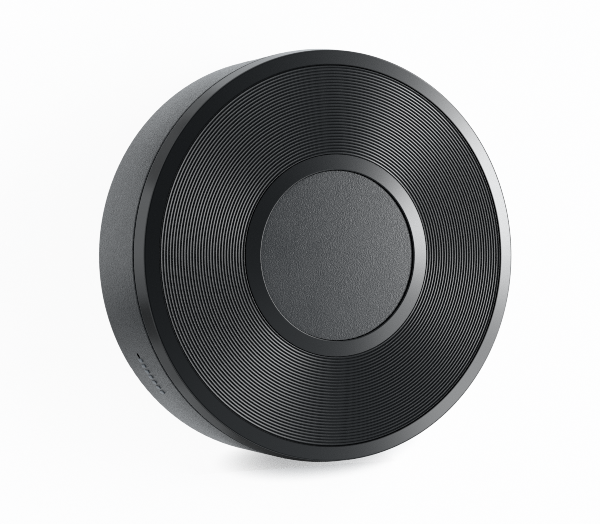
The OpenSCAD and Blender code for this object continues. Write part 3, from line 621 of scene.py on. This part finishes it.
# Every solid that isn't listed is a chip
NODE_FINISH = {
    "rear_housing": housing_finish,
    "front_cover": cover_finish,
    "centre_plate": plate_finish,
    "plate_adhesive": film_finish,
    "feet": rubber_finish,
    "case_screws": zinc_finish,
    "main_board": board_finish,
    "usb_socket_shell": nickel_finish,
    "usb_socket_tongue": socket_finish,
    "usb_socket_contacts": gold_finish,
    "audio_jack_body": socket_finish,
    "audio_jack_contacts": tin_finish,
    "reset_switch_base": socket_finish,
    "reset_switch_frame": nickel_finish,
    "reset_switch_dome": nickel_finish,
    "reset_switch_plunger": button_finish,
    "status_led": diode_finish,
    "light_pipe": pipe_finish,
    "wifi_module_board": module_finish,
    "wifi_shield_can": tin_finish,
    "antenna_socket": gold_finish,
    "antenna_plug": gold_finish,
    "antenna_lead": lead_finish,
    "antenna_strip": strip_finish,
    "power_inductor": ferrite_finish,
    "crystal": nickel_finish,
    "capacitor_bases": socket_finish,
    "capacitor_cans": can_finish,
    "chip_passives": ceramic_finish,
}
for name, solid in frame["nodes"].items():
    solid.data.materials.clear()
    solid.data.materials.append(NODE_FINISH.get(name, chip_finish))

dome = snap_dome()
for made, node in (
    (dome, "reset_switch_dome"),
    (cover_shell(), "front_cover"),
    (plate_disc(), "centre_plate"),
    (rubber_feet(), "feet"),
    (housing_shell(), "rear_housing"),
):
    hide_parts(node)
    made.data.materials.append(NODE_FINISH[node])
rim_marks().data.materials.append(mark_highlight_finish)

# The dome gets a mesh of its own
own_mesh(dome)


# Camera: the photograph's, found from the circles of the face

def placed(sideways, upwards, backwards, place):
    """Matrix of an object whose X, Y and Z axes are the three directions, at a place."""
    axes = np.stack([sideways, upwards, backwards, place], 1)
    return Matrix([*axes.tolist(), [0, 0, 0, 1]])


VIEW_TURN, VIEW_RISE, VIEW_ROLL = np.radians([25.6175, 0.4636, -0.861])
VIEW_DISTANCE, VIEW_ASIDE, VIEW_BELOW = 8.603 * EDGE_R, 0.18067 * EDGE_R, 0.03182 * EDGE_R
FOCAL_PIXELS = 1767.44
SENSOR_W = 36

towards = np.array([
    -math.sin(VIEW_TURN) * math.cos(VIEW_RISE),
    math.sin(VIEW_RISE),
    math.cos(VIEW_TURN) * math.cos(VIEW_RISE),
])
level = np.cross([0, 1, 0], towards)
level /= np.linalg.norm(level)
upright = np.cross(towards, level)
right = math.cos(VIEW_ROLL) * level + math.sin(VIEW_ROLL) * upright
up = -math.sin(VIEW_ROLL) * level + math.cos(VIEW_ROLL) * upright
stand = VIEW_DISTANCE * towards - VIEW_ASIDE * right - VIEW_BELOW * up + np.array([0, 0, EDGE_Z])

lens = bpy.data.cameras.new("camera")
lens.sensor_fit = "HORIZONTAL"
lens.sensor_width = SENSOR_W
lens.lens = FOCAL_PIXELS / IMAGE_W * SENSOR_W
lens.clip_start, lens.clip_end = 0.01, 50
camera = bpy.data.objects.new("camera", lens)
bpy.context.scene.collection.objects.link(camera)
camera.matrix_world = placed(right, up, towards, stand * MM)
bpy.context.scene.camera = camera


# Studio: a white floor, soft lights on one side and a dim ceiling, all in the world

scene = bpy.context.scene
scene.view_settings.view_transform = "Standard"
# The fine ribs and grain are only a pixel or two wide, so they are neither smoothed nor blurred
scene.cycles.use_denoising = False
scene.cycles.filter_width = 1.0
scene.world = bpy.data.worlds.new("studio")
studio = Finish(scene.world)
sky = studio.node("ShaderNodeTexCoord", {}, {}, "Generated")


def soft_light(direction, spread, strength):
    """Soft light in the sky: its strength over 1 plus the fourth power of the angle from its
    direction, in spreads."""
    direction = np.asarray(direction, float) / np.linalg.norm(direction)
    cosine = studio.node(
        "ShaderNodeVectorMath", {"operation": "DOT_PRODUCT"}, {0: sky, 1: direction.tolist()}, "Value"
    )
    squared = (1 - cosine) * (2 / math.radians(spread) ** 2)
    return strength / (squared * squared + 1)


# Each light's direction, spread in degrees and strength; the main light is cut off below
MAIN_LIGHT, MAIN_CUT = ((0.79, 0.11, 0.60), 12.2, 14.0), (0.44, 0.61)
SMALL_LIGHTS = (
    ((0.69, -0.33, 0.645), 8.5, 4.6),
    ((0.77, 0.50, 0.39), 10.5, 3.7),
    ((0.79, 0.55, 0.275), 11, 4.9),
    ((0.96, -0.18, 0.20), 10, 5.7),
    ((0.30, -0.33, 0.88), 16, 0.36),
)
HORIZON_GLOW, CEILING_GLOW, CEILING_FROM = 1.0, 0.06, 0.69
LIGHT_COLOR, DIM_COLOR = grey(1.0), (0.78, 0.9, 1.0, 1)

height = studio.node("ShaderNodeSeparateXYZ", {}, {0: sky}, 2)
lights = studio.between(height, 0.0, CEILING_FROM, HORIZON_GLOW, CEILING_GLOW)
lights += soft_light(*MAIN_LIGHT) * studio.between(height, *MAIN_CUT)
for light in SMALL_LIGHTS:
    lights += soft_light(*light)
background = studio.tree.nodes["Background"]
studio.feed(background.inputs["Color"], studio.mix(1 / (lights + 1), LIGHT_COLOR, DIM_COLOR))
studio.feed(background.inputs["Strength"], lights)


def stage_sheet(name, corners, finish):
    """Flat sheet of the studio through its corners, in millimetres."""
    mesh = bpy.data.meshes.new(name)
    mesh.from_pydata(np.array(corners) * MM, [], [tuple(range(len(corners)))])
    mesh.materials.append(finish)
    sheet = bpy.data.objects.new(name, mesh)
    scene.collection.objects.link(sheet)
    return sheet


paper = Finish(bpy.data.materials.new("white_paper"))
paper.tree.nodes.remove(paper.tree.nodes["Principled BSDF"])


def patch(middle, half, core):
    """Soft oval patch of the paper, in millimetres: 1 within the core's share of its size and 0 from
    its edge."""
    middle, half = np.array(middle) * MM, np.array(half) * MM
    inside = paper.node("ShaderNodeMapping", {}, {
        "Vector": paper.place(), "Location": (*(-middle / half), 0), "Scale": (*(1 / half), 0),
    })
    return paper.between(paper.length(inside), 1.0, core)


def spared(rest, patches):
    """What patches leave of a value: its product with 1 minus each patch times its share."""
    for share, *oval in patches:
        rest = rest * (1 - share * patch(*oval))
    return rest


def strip(along, start, full):
    """Smooth step across the paper, from 0 at one line to 1 at another, in millimetres."""
    return paper.between(along, start * MM, full * MM)


# The paper glows white, apart from a painted shadow under the lower rim; to reflections parts of it
# are painted dim or dark, and its glow is painted a touch bluish. A patch has a share, a middle, a
# half size and a core
SHADOWS = (
    (1, (6, -41.5), (23, 5.5), 0.2),
    (1, (14, -36.5), (20, 9), 0.4),
)
DARK_REFLECTION_PATCHES = (
    (0.58, (-50, 38), (19, 19), 0.6),
    (0.45, (-34, 48), (14, 13), 0.4),
    (0.7, (-54, -22), (10, 12), 0.35),
    (0.4, (-48, -37), (13, 13), 0.5),
    (0.9, (12, -46), (30, 17), 0.3),
    (0.6, (-6, -54), (22, 14), 0.5),
)
SHADOW_GLOW, PAPER_GLOW = 0.27, 0.95
DIM_REFLECTION_GLOW, FRONT_REFLECTION_GLOW = 0.36, 0.45

aside, depth = (
    paper.node("ShaderNodeSeparateXYZ", {}, {0: paper.place()}, axis) for axis in (0, 1)
)
# Painted shadow: under the lower rim and beside the right of the base the glow is lowered by place, so
# that the paper's own shade, from the piece and the shade card, shows there
under = patch((0, 0), (43, 43), 0.93) * patch((40, 0), (34, 60), 0.5)
clear = spared(1 - 0.7 * under, SHADOWS)
# Painted reflections: to glossy rays the paper glows dimmer below the middle, and patches, a band in
# front and the far right turn it dark
painted_reflection_glow = DIM_REFLECTION_GLOW + (1 - DIM_REFLECTION_GLOW) * strip(depth, -16, 4) + FRONT_REFLECTION_GLOW * strip(depth, -12, -34)
front_dark_reflection = strip(depth, -30, -58) * strip(depth, -120, -90)
far_right_dark_reflection = (1 - patch((0, 0), (85, 85), 0.7)) * strip(aside, 0, 50)
bright_reflection_share = spared((1 - 0.9 * front_dark_reflection) * (1 - far_right_dark_reflection), DARK_REFLECTION_PATCHES)
camera_ray, glass_ray, glossy_ray = (
    paper.node("ShaderNodeLightPath", {}, {}, name)
    for name in ("Is Camera Ray", "Is Transmission Ray", "Is Glossy Ray")
)
seen = (
    camera_ray * (SHADOW_GLOW + (PAPER_GLOW - SHADOW_GLOW) * clear)
    + PAPER_GLOW * glass_ray
    + glossy_ray * painted_reflection_glow
)
matt = paper.node("ShaderNodeBsdfDiffuse", {}, {"Color": grey(0.8)})
# Near-black paper that reflections see where they are painted dark
dark = paper.node("ShaderNodeBsdfDiffuse", {}, {"Color": grey(0.02)})
# Painted reflection tint: reflections see the glow a touch bluish
white = paper.mix(glossy_ray, grey(1.0), (0.93, 0.97, 1.0, 1))
glow = paper.node("ShaderNodeEmission", {}, {"Color": white, "Strength": 1.0})
blend = paper.node("ShaderNodeMixShader", {}, {0: seen, 1: matt, 2: glow})
paper.show(paper.node("ShaderNodeMixShader", {}, {0: glossy_ray * (1 - bright_reflection_share), 1: blend, 2: dark}))

FLOOR_REACH = 5000
stage_sheet("floor", [
    (-FLOOR_REACH, -FLOOR_REACH, 0), (FLOOR_REACH, -FLOOR_REACH, 0),
    (FLOOR_REACH, FLOOR_REACH, 0), (-FLOOR_REACH, FLOOR_REACH, 0),
], paper.owner)
# A dark card by the lower rim, out of sight, deepens the shadow there
card = stage_sheet(
    "shade_card",
    [(-20, -43.5, 0), (26, -43.5, 0), (26, -43.5, 10), (-20, -43.5, 10)],
    moulded("black_card", grey(0.015), grey(0.03), 0.8, 0.1, 0.5, 0.01),
)
card.visible_camera = card.visible_glossy = False
